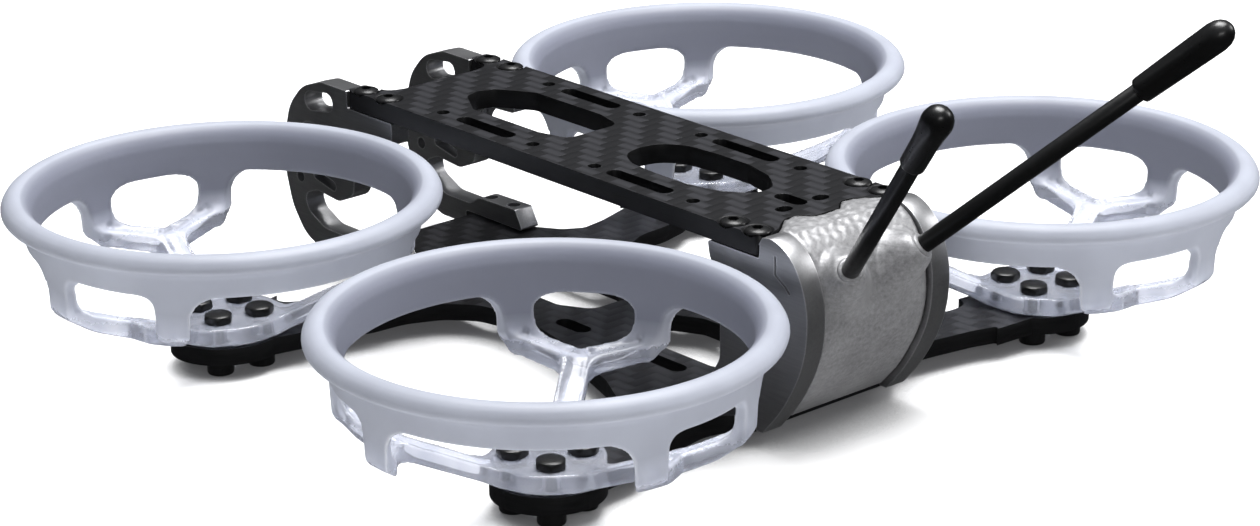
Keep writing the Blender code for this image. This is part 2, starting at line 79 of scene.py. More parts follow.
# --------------------------------------------------------------- materials
class Nodes:
    def __init__(self, name):
        self.mat = bpy.data.materials.new(name)
        self.mat.use_nodes = True
        self.tree = self.mat.node_tree
        self.shader = self.tree.nodes["Principled BSDF"]
        self.out = self.tree.nodes["Material Output"]

    def new(self, kind, **values):
        node = self.tree.nodes.new(kind)
        for key, value in values.items():
            if hasattr(node, key):
                setattr(node, key, value)
            else:
                node.inputs[key.replace("_", " ")].default_value = value
        return node

    def link(self, a, b):
        self.tree.links.new(a, b)

    def math(self, op, a, b=None, c=None, clamp=False):
        node = self.tree.nodes.new("ShaderNodeMath")
        node.operation = op
        node.use_clamp = clamp
        for i, v in enumerate((a, b, c)):
            if v is None:
                continue
            if isinstance(v, (int, float)):
                node.inputs[i].default_value = v
            else:
                self.link(v, node.inputs[i])
        return node.outputs[0]

    def coords(self, scale=1.0):
        tc = self.tree.nodes.new("ShaderNodeTexCoord")
        mp = self.tree.nodes.new("ShaderNodeMapping")
        self.link(tc.outputs["Object"], mp.inputs[0])
        if isinstance(scale, (int, float)):
            scale = (scale,) * 3
        mp.inputs["Scale"].default_value = scale
        return mp.outputs[0]

    def noise(self, scale, detail=3.0, rough=0.55, vector=None):
        n = self.tree.nodes.new("ShaderNodeTexNoise")
        n.inputs["Scale"].default_value = scale
        n.inputs["Detail"].default_value = detail
        n.inputs["Roughness"].default_value = rough
        self.link(vector if vector is not None else self.coords(), n.inputs["Vector"])
        return n.outputs[0]

    def ramp(self, fac, stops):
        r = self.tree.nodes.new("ShaderNodeValToRGB")
        el = r.color_ramp.elements
        while len(el) < len(stops):
            el.new(0.5)
        for e, (p, c) in zip(el, stops):
            e.position = p
            e.color = (*c, 1.0) if not isinstance(c, (int, float)) else (c, c, c, 1.0)
        self.link(fac, r.inputs[0])
        return r.outputs[0]

    def mix(self, fac, a, b, mode="MIX"):
        m = self.tree.nodes.new("ShaderNodeMix")
        m.data_type = "RGBA"
        m.blend_type = mode
        for sock, v in ((m.inputs[0], fac), (m.inputs[6], a), (m.inputs[7], b)):
            if isinstance(v, (int, float)) and sock.type == "VALUE":
                sock.default_value = v
            elif isinstance(v, tuple):
                sock.default_value = (*v, 1.0)
            else:
                self.link(v, sock)
        return m.outputs[2]

    def bump(self, height, strength, distance, normal=None):
        b = self.tree.nodes.new("ShaderNodeBump")
        b.inputs["Strength"].default_value = strength
        b.inputs["Distance"].default_value = distance
        self.link(height, b.inputs["Height"])
        if normal is not None:
            self.link(normal, b.inputs["Normal"])
        return b.outputs[0]

    def edges(self, radius, low, high):
        """0 on open faces, 1 along sharp edges: the mask of a painted highlight, lightening the colour where a moulding
        or a machined part catches the light.
        """
        rim = self.tree.nodes.new("ShaderNodeBevel")
        rim.samples = 4
        rim.inputs["Radius"].default_value = radius
        geo = self.tree.nodes.new("ShaderNodeNewGeometry")
        dot = self.tree.nodes.new("ShaderNodeVectorMath")
        dot.operation = "DOT_PRODUCT"
        self.link(rim.outputs[0], dot.inputs[0])
        self.link(geo.outputs["Normal"], dot.inputs[1])
        turn = self.math("SUBTRACT", 1.0, dot.outputs["Value"])
        return self.math("DIVIDE", self.math("SUBTRACT", turn, low), high - low, clamp=True)

    def set(self, name, value):
        sock = self.shader.inputs[name]
        if isinstance(value, (int, float)):
            sock.default_value = value
        elif isinstance(value, tuple):
            sock.default_value = (*value, 1.0) if len(value) == 3 and sock.type == "RGBA" else value
        else:
            self.link(value, sock)


def carbon_material():
    """2/2 twill laminate: tows 1.85 mm wide along X and Y on the flat faces, layers on the cut edges."""
    n = Nodes("carbon_twill")
    sep = n.new("ShaderNodeSeparateXYZ")
    n.link(n.coords(1.0), sep.inputs[0])
    x, y, z = sep.outputs
    w = 0.00185
    u, v = n.math("DIVIDE", x, w), n.math("DIVIDE", y, w)
    fu, fv = n.math("FLOOR", u), n.math("FLOOR", v)
    phase = n.math("MODULO", n.math("ADD", n.math("SUBTRACT", fu, fv), 4000.0), 4.0)
    warp = n.math("LESS_THAN", phase, 1.5)                       # 1 where the tow along Y lies on top
    fru, frv = n.math("FRACT", u), n.math("FRACT", v)

    def crown(f):                                                # rounded section across one tow
        d = n.math("SUBTRACT", f, 0.5)
        return n.math("SUBTRACT", 1.0, n.math("MULTIPLY", n.math("MULTIPLY", d, d), 4.0))

    across = n.math("ADD", n.math("MULTIPLY", crown(fru), warp), n.math("MULTIPLY", crown(frv), n.math("SUBTRACT", 1.0, warp)))
    # how far along its float each tow is, so it dips where it goes under
    run_w = n.math("MODULO", n.math("ADD", n.math("SUBTRACT", fu, v), 4000.0), 4.0)
    run_f = n.math("MODULO", n.math("ADD", n.math("SUBTRACT", u, fv), 4000.0), 4.0)

    def dip(r):
        return n.math("SINE", n.math("MULTIPLY", n.math("ADD", r, 1.0), math.pi / 2), None)

    fibre_y = n.noise(1.0, 2.0, 0.6, n.coords((9000, 260, 9000)))
    fibre_x = n.noise(1.0, 2.0, 0.6, n.coords((260, 9000, 9000)))
    fibre = n.math("ADD", n.math("MULTIPLY", fibre_y, warp), n.math("MULTIPLY", fibre_x, n.math("SUBTRACT", 1.0, warp)))
    cloud = n.noise(120.0, 3.0)
    tone = n.math("ADD", n.math("MULTIPLY", warp, 0.52), n.math("MULTIPLY", fibre, 0.36))
    tone = n.math("ADD", tone, n.math("MULTIPLY", cloud, 0.18))
    tone = n.math("MULTIPLY", tone, n.math("ADD", n.math("MULTIPLY", across, 0.35), 0.65))
    face = n.ramp(tone, [(0.20, (0.0035, 0.0035, 0.0043)), (0.60, (0.0135, 0.0137, 0.016)), (1.0, (0.036, 0.036, 0.041))])
    # the cut edge: thin plies
    geo = n.new("ShaderNodeNewGeometry")
    gn = n.new("ShaderNodeSeparateXYZ")
    n.link(geo.outputs["Normal"], gn.inputs[0])
    flat = n.math("GREATER_THAN", n.math("ABSOLUTE", gn.outputs[2]), 0.8)
    plies = n.noise(1.0, 2.0, 0.5, n.coords((300, 300, 5200)))
    edge = n.ramp(plies, [(0.3, (0.0016, 0.0016, 0.002)), (0.75, (0.006, 0.006, 0.0066))])
    n.set("Base Color", n.mix(flat, edge, face))
    n.set("Roughness", n.ramp(n.math("ADD", n.math("MULTIPLY", flat, -0.12), n.math("MULTIPLY", fibre, 0.2)),
                              [(0.0, 0.37), (0.3, 0.56)]))
    n.shader.inputs["Specular IOR Level"].default_value = 0.36
    n.shader.inputs["Coat Weight"].default_value = 0.06
    n.shader.inputs["Coat Roughness"].default_value = 0.28
    height = n.math("MULTIPLY", n.math("ADD", across, n.math("MULTIPLY", fibre, 0.35)), flat)
    n.set("Normal", n.bump(height, 0.42, 0.00007))
    return n.mat


def alloy_material(name, dark, light, rough=0.3):
    n = Nodes(name)
    grain = n.noise(2600.0, 4.0, 0.6)
    brushed = n.noise(1.0, 3.0, 0.5, n.coords((4200, 220, 4200)))
    cloud = n.noise(90.0, 2.0)
    tone = n.math("ADD", n.math("MULTIPLY", brushed, 0.4), n.math("MULTIPLY", cloud, 0.6))
    body = n.ramp(tone, [(0.3, dark), (0.7, light)])
    # sharp edges are lightened towards pale grey: a painted highlight
    n.set("Base Color", n.mix(n.math("MULTIPLY", n.edges(0.00035, 0.02, 0.16), 0.75), body, (0.86, 0.86, 0.88)))
    n.shader.inputs["Metallic"].default_value = 0.92
    n.set("Roughness", n.ramp(n.math("ADD", n.math("MULTIPLY", grain, 0.5), n.math("MULTIPLY", cloud, 0.5)),
                              [(0.3, rough - 0.05), (0.7, rough + 0.09)]))
    n.set("Normal", n.bump(grain, 0.12, 0.00002))
    return n.mat


def duct_material():
    """Frosted, bluish moulding: matt on the ring, clearer and glossier on the spokes, feet and hub below it; painted
    shade on the ring's inward-facing walls and a painted highlight along sharp edges.
    """
    n = Nodes("milky_plastic")
    sep = n.new("ShaderNodeSeparateXYZ")
    n.link(n.coords(1.0), sep.inputs[0])
    cloud = n.noise(85.0, 3.0)
    fine = n.noise(1500.0, 3.0, 0.6)
    flow = n.noise(1.0, 3.0, 0.6, n.coords((260, 260, 90)))
    level = n.math("ADD", sep.outputs[2], n.math("MULTIPLY", n.math("SUBTRACT", cloud, 0.5), 0.004))
    clear = n.math("DIVIDE", n.math("SUBTRACT", 0.0148, level), 0.0050, clamp=True)
    frost = n.ramp(cloud, [(0.3, (0.415, 0.435, 0.505)), (0.7, (0.485, 0.51, 0.585))])
    glass = n.ramp(flow, [(0.3, (0.54, 0.57, 0.67)), (0.7, (0.77, 0.79, 0.87))])
    geo = n.new("ShaderNodeNewGeometry")
    normal = n.new("ShaderNodeSeparateXYZ")
    n.link(geo.outputs["Normal"], normal.inputs[0])

    def inward(place, middle, part):
        reach = n.math("SUBTRACT", n.math("ABSOLUTE", place), middle)
        return n.math("MULTIPLY", n.math("MULTIPLY", reach, n.math("SIGN", place)), part)

    # walls facing in towards the guard's centre are darkened to blue-grey: painted shade inside the ring
    facing = n.math("ADD", inward(sep.outputs[0], MOTOR_X * MM, normal.outputs[0]), inward(sep.outputs[1], MOTOR_Y * MM, normal.outputs[1]))
    inner = n.math("DIVIDE", n.math("SUBTRACT", -0.010, facing), 0.012, clamp=True)
    frost = n.mix(n.math("MULTIPLY", inner, 0.85), frost, (0.205, 0.215, 0.275))
    # sharp edges are lightened towards near-white: a painted highlight
    n.set("Base Color", n.mix(n.math("MULTIPLY", n.edges(0.0006, 0.015, 0.12), 0.8), n.mix(clear, frost, glass), (0.93, 0.945, 0.985)))
    n.set("Roughness", n.math("ADD", n.math("MULTIPLY", n.math("SUBTRACT", 1.0, clear), 0.30),
                              n.math("ADD", 0.14, n.math("MULTIPLY", fine, 0.10))))
    n.set("Transmission Weight", n.math("ADD", 0.22, n.math("MULTIPLY", clear, 0.50)))
    n.shader.inputs["IOR"].default_value = 1.42
    n.shader.inputs["Specular IOR Level"].default_value = 0.5
    waves = n.math("MULTIPLY", flow, clear)
    n.set("Normal", n.bump(n.math("ADD", n.math("MULTIPLY", fine, 0.5), n.math("MULTIPLY", waves, 2.6)), 0.16, 0.00006))
    return n.mat


def tail_material():
    n = Nodes("silver_print")
    sep = n.new("ShaderNodeSeparateXYZ")
    n.link(n.coords(1.0), sep.inputs[0])
    layers = n.noise(1.0, 2.0, 0.5, n.coords((160, 160, 5200)))
    cloud = n.noise(120.0, 4.0)
    speck = n.noise(1700.0, 5.0, 0.7)
    n.set("Base Color", n.ramp(n.math("ADD", n.math("MULTIPLY", cloud, 0.40), n.math("MULTIPLY", speck, 0.60)),
                               [(0.3, (0.155, 0.155, 0.16)), (0.7, (0.38, 0.38, 0.39))]))
    n.shader.inputs["Metallic"].default_value = 0.42
    n.set("Roughness", n.ramp(speck, [(0.3, 0.36), (0.7, 0.54)]))
    n.set("Normal", n.bump(n.math("ADD", n.math("MULTIPLY", layers, 0.6), n.math("MULTIPLY", speck, 0.9)), 0.42, 0.00007))
    return n.mat


def black_material(name, tone, rough, coat=0.0, grain=1800.0, metal=0.0, strength=0.1):
    n = Nodes(name)
    cloud = n.noise(220.0, 3.0)
    fine = n.noise(grain, 3.0, 0.6)
    n.set("Base Color", n.ramp(cloud, [(0.3, (tone * 0.7,) * 3), (0.7, (tone * 1.35, tone * 1.35, tone * 1.45))]))
    n.shader.inputs["Metallic"].default_value = metal
    n.set("Roughness", n.ramp(fine, [(0.3, rough - 0.05), (0.7, rough + 0.07)]))
    n.shader.inputs["Coat Weight"].default_value = coat
    n.shader.inputs["Coat Roughness"].default_value = 0.12
    n.set("Normal", n.bump(fine, strength, 0.00003))
    return n.mat


CARBON = carbon_material()
ALLOY = alloy_material("gunmetal_alloy", (0.22, 0.22, 0.226), (0.34, 0.34, 0.346), 0.34)
ALLOY_R = alloy_material("gunmetal_alloy_rear", (0.30, 0.30, 0.31), (0.43, 0.43, 0.44), 0.35)
DUCT = duct_material()
TAIL = tail_material()
TUBE = black_material("black_tube", 0.0022, 0.34, 0.06)
CAP = black_material("black_cap", 0.0020, 0.32, 0.08)
STEEL = black_material("black_oxide", 0.010, 0.32, 0.0, 2600.0, 0.4, 0.18)


# ------------------------------------------------------------ mesh helpers
def add(name, mesh, mat, body="frame", node=None, smooth=False):
    obj = bpy.data.objects.new(name, mesh)
    scene.collection.objects.link(obj)
    mesh.materials.clear()
    mesh.materials.append(mat)
    if smooth:
        for p in mesh.polygons:
            p.use_smooth = True
    if body:
        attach(obj, body)
    if node:
        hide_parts(*([node] if isinstance(node, str) else node))
    return obj


def mesh_of(name, verts, faces):
    mesh = bpy.data.meshes.new(name)
    mesh.from_pydata([tuple(c * MM for c in v) for v in verts], [], faces)
    bm = bmesh.new()
    bm.from_mesh(mesh)
    bmesh.ops.recalc_face_normals(bm, faces=bm.faces)
    bm.to_mesh(mesh)
    bm.free()
    return mesh


def plate(name, outline, holes, low, high, plane="z"):
    curve = bpy.data.curves.new(name, "CURVE")
    curve.dimensions = "2D"
    curve.fill_mode = "BOTH"
    curve.extrude = (high - low) / 2 * MM
    for loop in [outline] + list(holes):
        spline = curve.splines.new("POLY")
        spline.points.add(len(loop) - 1)
        for point, (a, b) in zip(spline.points, loop):
            point.co = (a * MM, b * MM, 0, 1)
        spline.use_cyclic_u = True
    temp = bpy.data.objects.new(name + "_curve", curve)
    scene.collection.objects.link(temp)
    bpy.context.view_layer.update()
    mesh = bpy.data.meshes.new_from_object(temp.evaluated_get(bpy.context.evaluated_depsgraph_get()))
    bpy.data.objects.remove(temp, do_unlink=True)
    bm = bmesh.new()
    bm.from_mesh(mesh)
    bmesh.ops.remove_doubles(bm, verts=bm.verts, dist=2e-6)
    bmesh.ops.dissolve_limit(bm, angle_limit=0.001, verts=bm.verts, edges=bm.edges)
    mid = (low + high) / 2 * MM
    if plane == "z":
        bmesh.ops.translate(bm, vec=(0, 0, mid), verts=bm.verts)
    else:
        turn = Matrix(((0, 0, 1, 0), (1, 0, 0, 0), (0, 1, 0, 0), (0, 0, 0, 1)))
        bmesh.ops.transform(bm, matrix=turn, verts=bm.verts)
        bmesh.ops.translate(bm, vec=(mid, 0, 0), verts=bm.verts)
    bmesh.ops.recalc_face_normals(bm, faces=bm.faces)
    bm.to_mesh(mesh)
    bm.free()
    return mesh


def bevelled(obj, width, segments=2, angle=40):
    mod = obj.modifiers.new("edges", "BEVEL")
    mod.width = width * MM
    mod.segments = segments
    mod.limit_method = "ANGLE"
    mod.angle_limit = math.radians(angle)
    mod.harden_normals = False
    mod.use_clamp_overlap = True
    return obj


def baked(obj):
    """The object's evaluated mesh takes the place of its modifiers."""
    bpy.context.view_layer.update()
    mesh = bpy.data.meshes.new_from_object(obj.evaluated_get(bpy.context.evaluated_depsgraph_get()))
    obj.modifiers.clear()
    old, obj.data = obj.data, mesh
    return obj


def shade(obj, angle=30):
    """Smooth shading with sharp edges over the angle."""
    mesh = obj.data
    bm = bmesh.new()
    bm.from_mesh(mesh)
    bm.normal_update()
    for f in bm.faces:                                           # the flat faces of a plate stay flat
        f.smooth = max(abs(c) for c in f.normal) < 0.9995
    for e in bm.edges:
        e.smooth = not (len(e.link_faces) == 2 and e.calc_face_angle(0.0) > math.radians(angle))
    bm.to_mesh(mesh)
    bm.free()
    return obj


def ring_points(radius, count, start=0.0, sweep=360.0, centre=(0, 0)):
    steps = count if abs(sweep) >= 360 else count - 1
    return [(centre[0] + radius * math.cos(math.radians(start + sweep * i / steps)),
             centre[1] + radius * math.sin(math.radians(start + sweep * i / steps))) for i in range(count)]


def slot_loop(cx, cy, length, width, angle=0.0, count=9):
    half = (length - width) / 2
    pts = []
    for side, start in ((1, -90), (-1, 90)):
        for x, y in ring_points(width / 2, count, start, 180):
            pts.append((x + side * half, y))
    c, s = math.cos(math.radians(angle)), math.sin(math.radians(angle))
    return [(cx + x * c - y * s, cy + x * s + y * c) for x, y in pts]


def rounded(points, radii, count=6):
    out = []
    n = len(points)
    for i, p in enumerate(points):
        r = radii[i] if isinstance(radii, (list, tuple)) else radii
        p, a, b = Vector(p), Vector(points[i - 1]), Vector(points[(i + 1) % n])
        if r <= 0:
            out.append(tuple(p))
            continue
        u, v = (a - p).normalized(), (b - p).normalized()
        half = math.acos(max(-1, min(1, u.dot(v)))) / 2
        if abs(math.pi / 2 - half) < 0.02:
            out.append(tuple(p))
            continue
        cut = min(r / math.tan(half), (a - p).length * 0.49, (b - p).length * 0.49)
        r = cut * math.tan(half)
        centre = p + (u + v).normalized() * (r / math.sin(half))
        first, last = p + u * cut - centre, p + v * cut - centre
        a0 = math.atan2(first.y, first.x)
        turn = (math.atan2(last.y, last.x) - a0 + math.pi) % (2 * math.pi) - math.pi
        for k in range(count + 1):
            t = a0 + turn * k / count
            out.append((centre.x + r * math.cos(t), centre.y + r * math.sin(t)))
    return out


def mirrored(loop):
    return [(-x, y) for x, y in reversed(loop)]


def turned(base, tip, profile, count=40):
    """A turned solid about the line from base to tip; profile is (distance along, radius)."""
    axis = (tip - base).normalized()
    side = axis.orthogonal().normalized()
    other = axis.cross(side)
    verts, faces, rings = [], [], []
    for t, r in profile:
        if r <= 0:
            rings.append([len(verts)])
            verts.append(tuple(base + axis * t))
        else:
            rings.append(list(range(len(verts), len(verts) + count)))
            for i in range(count):
                a = 2 * math.pi * i / count
                verts.append(tuple(base + axis * t + (side * math.cos(a) + other * math.sin(a)) * r))
    for a, b in zip(rings, rings[1:]):
        for i in range(count):
            j = (i + 1) % count
            if len(a) == 1:
                faces.append([a[0], b[j], b[i]])
            elif len(b) == 1:
                faces.append([a[i], a[j], b[0]])
            else:
                faces.append([a[i], a[j], b[j], b[i]])
    if len(rings[0]) > 1:
        faces.append(list(reversed(rings[0])))
    if len(rings[-1]) > 1:
        faces.append(rings[-1])
    return verts, faces


def loft(levels):
    n = len(levels[0][1])
    verts = [(x, y, z) for z, loop in levels for x, y in loop]
    faces = [[i for i in range(n)][::-1], [(len(levels) - 1) * n + i for i in range(n)]]
    for k in range(len(levels) - 1):
        for i in range(n):
            j = (i + 1) % n
            faces.append([k * n + i, k * n + j, (k + 1) * n + j, (k + 1) * n + i])
    return verts, faces


def joined(pieces):
    verts, faces = [], []
    for v, f in pieces:
        base = len(verts)
        verts += list(v)
        faces += [[base + i for i in face] for face in f]
    return verts, faces


def boolean(obj, solids, operation="DIFFERENCE"):
    cutter = bpy.data.objects.new("cutter", mesh_of("cutter", *joined(solids)))
    scene.collection.objects.link(cutter)
    mod = obj.modifiers.new("cut", "BOOLEAN")
    mod.operation, mod.solver, mod.object = operation, "EXACT", cutter
    baked(obj)
    bpy.data.objects.remove(cutter, do_unlink=True)
    return obj


# ------------------------------------------------------------------- ducts
def polygon_distance(points, px, py):
    """Signed distance (negative inside) from a closed polygon, on arrays."""
    p = np.array(points, float)
    best = np.full(px.shape, 1e9)
    inside = np.zeros(px.shape, bool)
    for (ax, ay), (bx, by) in zip(p, np.roll(p, -1, axis=0)):
        ex, ey = bx - ax, by - ay
        t = np.clip(((px - ax) * ex + (py - ay) * ey) / (ex * ex + ey * ey), 0, 1)
        best = np.minimum(best, np.hypot(px - ax - t * ex, py - ay - t * ey))
        if ay != by:
            hit = ((ay > py) != (by > py)) & (px < ex * (py - ay) / (by - ay) + ax)
            inside ^= hit
    return np.where(inside, -best, best)


def round_union(a, b, r):
    """Union with a concave fillet of radius r."""
    u, v = np.maximum(r - a, 0), np.maximum(r - b, 0)
    return np.where((a < r) & (b < r), np.maximum(np.minimum(a, b), r) - np.hypot(u, v), np.minimum(a, b))


def round_both(a, b, r):
    """Intersection with a convex rounding of radius r."""
    u, v = np.maximum(r + a, 0), np.maximum(r + b, 0)
    return np.where((a > -r) & (b > -r), np.minimum(np.maximum(a, b), -r) + np.hypot(u, v), np.maximum(a, b))


def segment_distance(x, y, a, b, half):
    ex, ey = b[0] - a[0], b[1] - a[1]
    t = np.clip(((x - a[0]) * ex + (y - a[1]) * ey) / (ex * ex + ey * ey), 0, 1)
    return np.hypot(x - a[0] - t * ex, y - a[1] - t * ey) - half


DUCT_PROFILE = [(0, -18.85), (7.7, -18.85), (18.8, -13.9), (24.2, -12.3), (26.7, -10.6), (27.15, -9.8), (27.45, -4.2),
                (27.75, -1.3), (28.2, -0.4), (29.2, -0.05), (30.2, 0.05), (30.6, 0.5), (30.55, 1.1), (30.1, 1.9), (29.4, 2.4),
                (28.6, 2.6), (27.8, 2.4), (27.1, 1.85), (26.55, 1.1), (26.2, 0.2), (26.0, -1.6), (25.9, -4.2),
                (25.65, -7.6), (25.3, -8.9), (24.4, -9.7), (19.4, -11.0), (18.2, -11.5), (8.0, -16.2), (0, -16.2)]
VOX = 0.3


def duct_field():
    half = 31.2
    xs = np.arange(-half, half + VOX, VOX)
    zs = np.arange(-19.6, 3.4, VOX)
    X, Y = np.meshgrid(xs, xs, indexing="ij")
    R = np.hypot(X, Y)
    T = np.degrees(np.arctan2(Y, X))
    T = np.abs((T + 60) % 120 - 60)
    fx, fy = R * np.cos(np.radians(T)), R * np.sin(np.radians(T))
    # plan view of everything under the ring
    hub = R - 7.55
    stem = np.maximum(fy - 1.9, np.maximum(6.0 - fx, fx - 20.4))
    bar = segment_distance(fx, fy, (20.6, 0.0), (24.3, 8.8), 1.45)
    bar = np.minimum(bar, segment_distance(fx, fy, (24.3, 8.8), (26.2, 10.0), 1.9))
    out_edge = 22.3 + np.clip((R - 25.5) / 1.8, -0.3, 1.1) * 4.2
    leg = np.maximum(np.radians(T - out_edge) * 26.5, np.radians(16.5 - T) * 26.5)
    leg = np.maximum(leg, 25.0 - R)
    below = round_union(hub, stem, 2.6)
    below = round_union(below, bar, 1.8)
    below = round_union(below, leg, 1.0)
    # section through the wall, the cone and the hub
    rr = np.arange(0, half * 1.5, 0.1)
    RR, ZZ = np.meshgrid(rr, zs, indexing="ij")
    section = polygon_distance(DUCT_PROFILE, RR, ZZ)
    field = np.empty((len(xs), len(xs), len(zs)), np.float32)
    corner = np.where(T < 19.0, 2.5, 3.6)
    # the spokes' upper faces: a rib along the stem, edges standing a little over the bars' floor
    rib = np.clip((1.15 - fy) / 0.35, 0, 1) * np.clip((fx - 7.0) / 2.0, 0, 1) * np.clip((20.3 - fx) / 0.8, 0, 1)
    floor_bar = np.clip((0.75 - np.abs(segment_distance(fx, fy, (20.6, 0.0), (24.6, 9.6), 0.0))) / 0.3, 0, 1) * np.clip((fy - 1.0) / 0.6, 0, 1)
    stem_valley = np.clip((1.75 - fy) / 0.3, 0, 1) * np.clip((fx - 7.4) / 1.5, 0, 1) * np.clip((20.0 - fx) / 0.8, 0, 1)
    dish = 0.32 * floor_bar + 0.30 * stem_valley - 0.42 * rib
    for k, z in enumerate(zs):
        sec = np.interp(R, rr, section[:, k])
        top_face = -11.0 + (np.minimum(R, 24.4) - 19.4) * 0.27
        top_face = np.where(R < 18.2, -16.5 + (R - 7.9) * 0.485, top_face)
        near = np.clip(1.0 - (top_face - z) / 1.3, 0, 1) * (R < 24.8) * (R > 7.0)
        ring = np.full(R.shape, -4.2 - z)
        pattern = round_union(ring, below, corner)
        field[:, :, k] = round_both(sec + dish * near, pattern, 0.35)
    # moulding marks along the bars, on their upper faces
    marks = []
    for s in (-1, 1):
        for t, r in ((0.16, 0.62), (0.5, 0.5), (0.66, 0.4), (0.86, 0.62)):
            marks.append((20.9 + (24.3 - 20.9) * t, s * 8.8 * t, r))
    for k3 in range(3):
        a = math.radians(120 * k3)
        for mx, my, mr in marks:
            cx, cy = mx * math.cos(a) - my * math.sin(a), mx * math.sin(a) + my * math.cos(a)
            rad = math.hypot(cx, cy)
            cz = -11.1 + (rad - 19.4) * 0.28 + 0.15
            i0, j0 = int((cx + half) / VOX), int((cy + half) / VOX)
            k0 = int((cz + 19.6) / VOX)
            m = int(1.6 / VOX) + 2
            sl = (slice(max(i0 - m, 0), i0 + m), slice(max(j0 - m, 0), j0 + m), slice(max(k0 - m, 0), k0 + m))
            gx, gy, gz = np.meshgrid(xs[sl[0]], xs[sl[1]], zs[sl[2]], indexing="ij")
            ball = np.sqrt((gx - cx) ** 2 + (gy - cy) ** 2 + (gz - cz) ** 2) - mr
            field[sl] = np.maximum(field[sl], -ball)
    return xs, zs, field


def duct_mesh(name, xs, zs, field, spin, holes):
    import openvdb
    work = field.copy()
    a = -math.radians(spin)
    for hx, hy in holes:
        cx, cy = hx * math.cos(a) - hy * math.sin(a), hx * math.sin(a) + hy * math.cos(a)
        i0, j0 = int((cx - xs[0]) / VOX), int((cy - xs[0]) / VOX)
        m = int(2.2 / VOX) + 2
        sx, sy = slice(i0 - m, i0 + m), slice(j0 - m, j0 + m)
        gx, gy = np.meshgrid(xs[sx], xs[sy], indexing="ij")
        hole = 1.08 - np.hypot(gx - cx, gy - cy)
        work[sx, sy, :] = np.maximum(work[sx, sy, :], hole[:, :, None])
    grid = openvdb.FloatGrid()
    grid.copyFromArray(np.clip(work, -1.5, 1.5).astype(np.float64))
    grid.background = 1.5
    points, triangles, quads = grid.convertToPolygons(isovalue=0.0, adaptivity=0.0)
    pts = np.asarray(points, float) * VOX
    pts[:, 0] += xs[0]
    pts[:, 1] += xs[0]
    pts[:, 2] += zs[0]
    c, s = math.cos(math.radians(spin)), math.sin(math.radians(spin))
    out = np.empty_like(pts)
    out[:, 0] = pts[:, 0] * c - pts[:, 1] * s
    out[:, 1] = pts[:, 0] * s + pts[:, 1] * c
    out[:, 2] = pts[:, 2]
    mesh = bpy.data.meshes.new(name)
    mesh.from_pydata((out * MM).tolist(), [], np.asarray(quads).tolist() + np.asarray(triangles).tolist())
    bm = bmesh.new()
    bm.from_mesh(mesh)
    for _ in range(2):
        bmesh.ops.smooth_vert(bm, verts=bm.verts, factor=0.45, use_axis_x=True, use_axis_y=True, use_axis_z=True)
    bmesh.ops.recalc_face_normals(bm, faces=bm.faces)
    bm.to_mesh(mesh)
    bm.free()
    return mesh


XS, ZS, FIELD = duct_field()
for corner, (hx, hy) in HUBS.items():
    bolts = [bolt_offset(corner, sx, sy) for sx in (-1, 1) for sy in (-1, 1)]
    mesh = duct_mesh("guard_" + corner, XS, ZS, FIELD, SPOKE_AZ[corner], bolts)
    mesh.transform(Matrix.Translation((hx * MM, hy * MM, Z0 * MM)))
    add("guard_" + corner, mesh, DUCT, "frame", "duct_" + corner, smooth=True)

# ----------------------------------------------------------- carbon plates
SCREW_X = 11.65


def pad_rim(cx, cy, start, end, grow, tip=-12.0, count=41):
    pts = []
    for i in range(count):
        a = start + (end - start) * i / (count - 1)
        r = 7.6 + grow * max(0.0, math.cos(math.radians(a - tip))) ** 2
        pts.append((cx + r * math.cos(math.radians(a)), cy + r * math.sin(math.radians(a))))
    return pts


half_outline = (
    rounded([(13.3, -50.2), (13.3, -38.2), (15.6, -34.6), (18.6, -32.7), (23.0, -33.4),
             (30.0, -35.6), (36.5, -39.4)], [1.5, 2, 2, 2, 6, 6, 3], 6) +
    pad_rim(MOTOR_X, -MOTOR_Y, -142, 110, 0.9) +
    rounded([(37.9, -29.2), (33.0, -26.0), (28.0, -24.7), (22.8, -24.3), (17.6, -21.9),
             (14.2, -18.0), (13.2, -13.5), (13.5, -6.0), (15.0, 2.0), (17.6, 9.5), (19.8, 16.0),
             (23.0, 22.0), (27.6, 26.8), (33.0, 29.4), (37.9, 29.4)],
            [5, 6, 8, 8, 6, 6, 8, 8, 8, 8, 8, 8, 8, 6, 5], 4) +
    pad_rim(MOTOR_X, MOTOR_Y, -110, 142, 0.0) +
    rounded([(36.5, 39.0), (30.0, 37.0), (24.5, 36.0), (19.5, 35.2), (16.0, 36.0), (13.9, 38.3),
             (13.3, 38.3)], [4, 8, 8, 6, 4, 0.6, 0], 5))
bottom_outline = half_outline + mirrored(half_outline)
bottom_holes = []
for corner, (hx, hy) in HUBS.items():
    bottom_holes.append(ring_points(2.0, 28, centre=(hx, hy)))
    for sx in (-1, 1):
        for sy in (-1, 1):
            ox, oy = bolt_offset(corner, sx, sy)
            bottom_holes.append(ring_points(1.1, 18, centre=(hx + ox, hy + oy)))
bottom_holes.append(rounded([(5.8, -33.0), (5.8, -10.5), (3.2, -5.6), (-3.2, -5.6), (-5.8, -10.5),
                             (-5.8, -33.0), (-3.0, -36.0), (3.0, -36.0)], 2.6, 8))
bottom_holes.append(rounded([(5.8, 8.0), (5.8, 22.0), (2.8, 27.0), (-2.8, 27.0), (-5.8, 22.0),
                             (-5.8, 8.0), (-3.2, 2.9), (3.2, 2.9)], 2.6, 8))
for sx in (-1, 1):
    bottom_holes.append(slot_loop(sx * 9.6, -2.6, 6.4, 2.6, 90))
    bottom_holes.append(slot_loop(sx * 9.6, 14.5, 12.0, 2.6, 90))
    bottom_holes.append(slot_loop(sx * 9.6, -24.0, 12.0, 2.6, 90))
    for py in (-46.3, -41.0, 32.4, 37.0):
        bottom_holes.append(ring_points(1.1, 18, centre=(sx * SCREW_X, py)))
